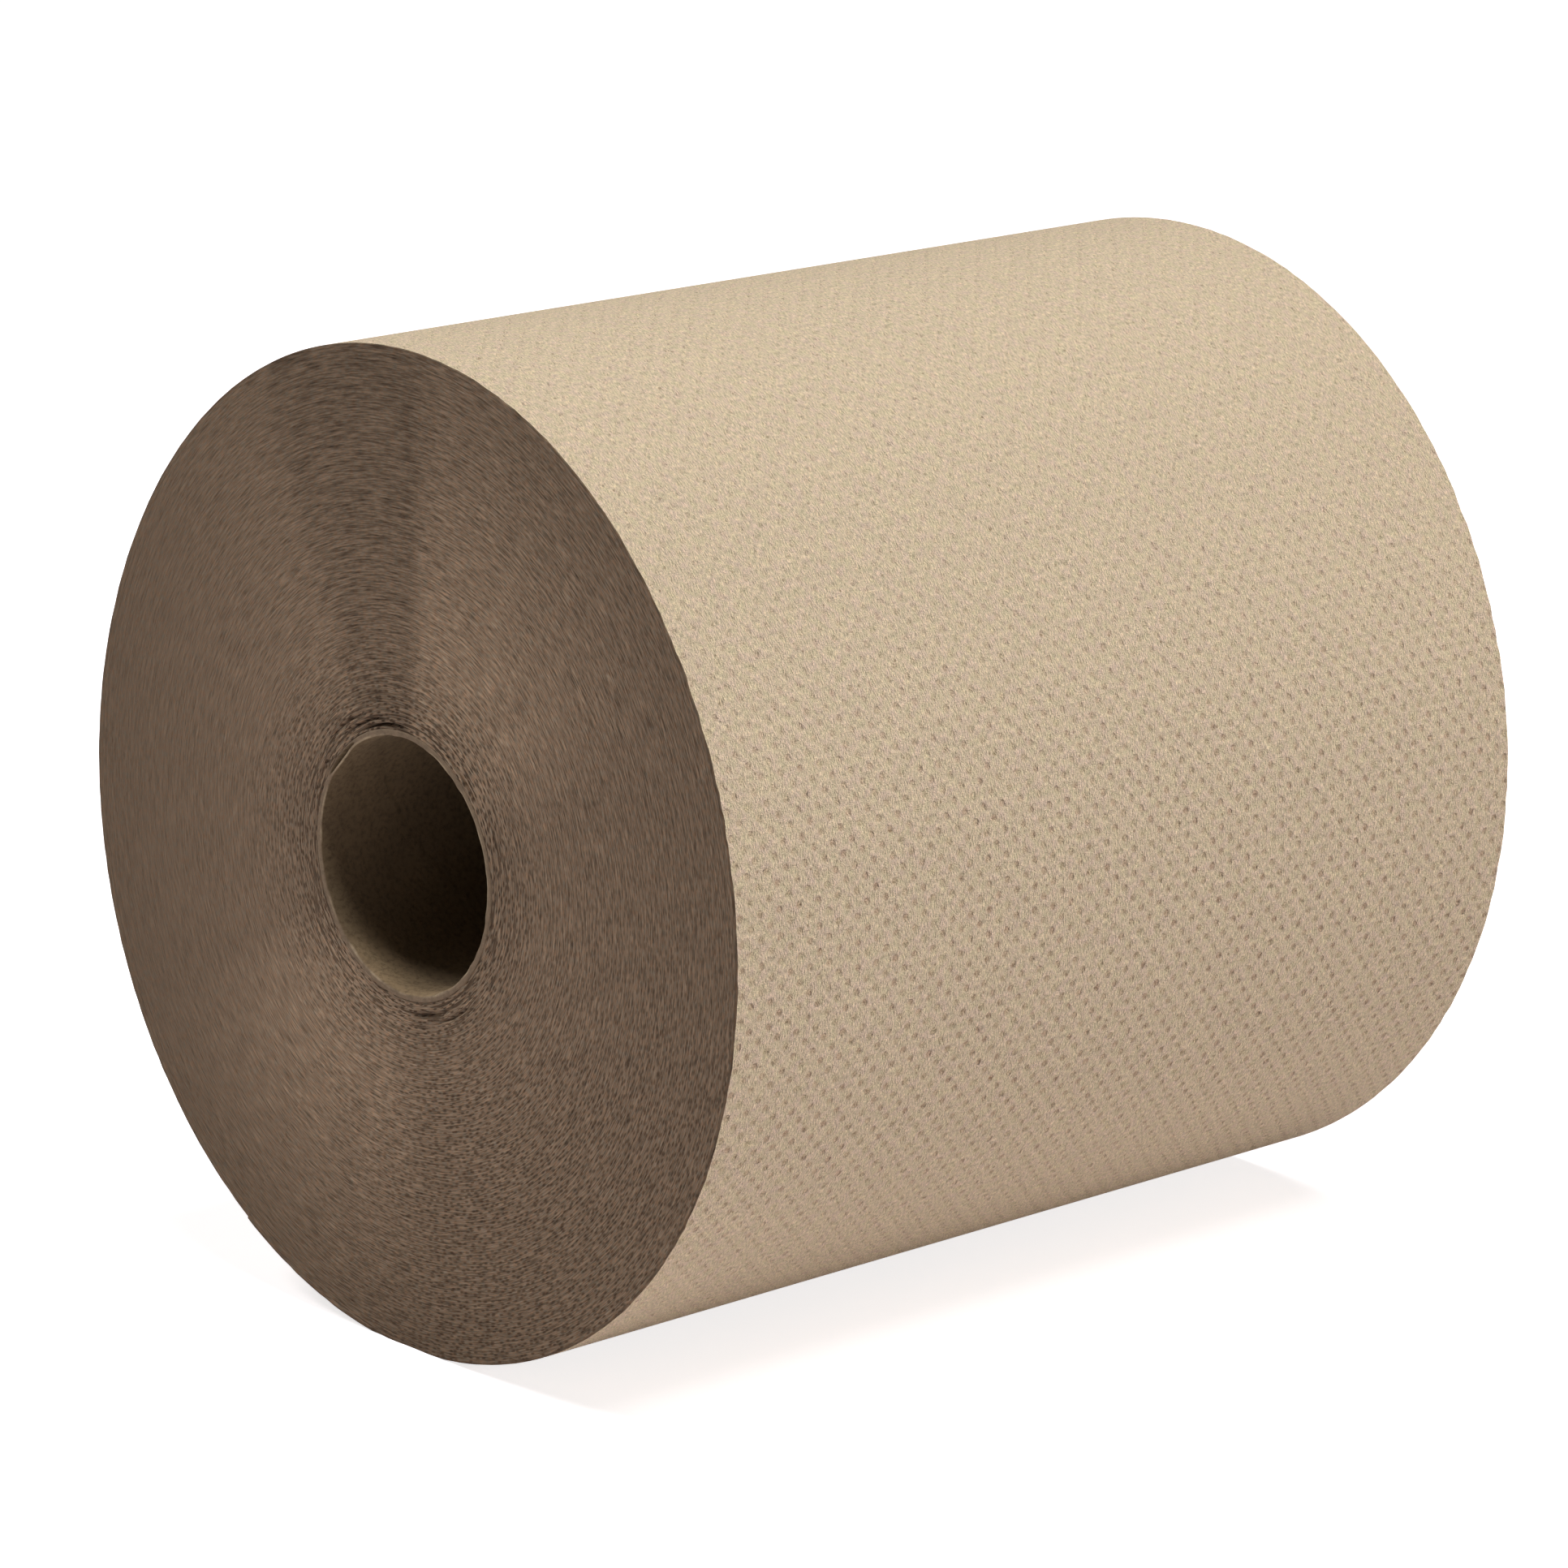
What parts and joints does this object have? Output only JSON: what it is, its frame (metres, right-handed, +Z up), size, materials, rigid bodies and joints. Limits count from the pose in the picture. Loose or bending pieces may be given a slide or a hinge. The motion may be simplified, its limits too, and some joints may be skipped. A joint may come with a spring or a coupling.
{
  "type": "paper towel roll",
  "caption": "Hardwound roll of embossed brown kraft paper towel on a spiral paperboard core, lying on its side, for a spindle or hub dispenser.",
  "frame": {"origin": "centre of the core's bore, midway between the two end faces", "axes": "+Y along the roll's axis, away from the end that faces the viewer; +X to the viewer's right; +Z up, with the roll lying on the flat at -Z"},
  "size_m": [0.1916, 0.203, 0.1947],
  "materials": {
    "kraft_towel": "matte, embossed, unbleached",
    "core_board": "matte, spiral wound"
  },
  "bodies": {
    "root": {"towel_roll": "kraft_towel", "core_tube": "core_board"}
  },
  "joints": []
}
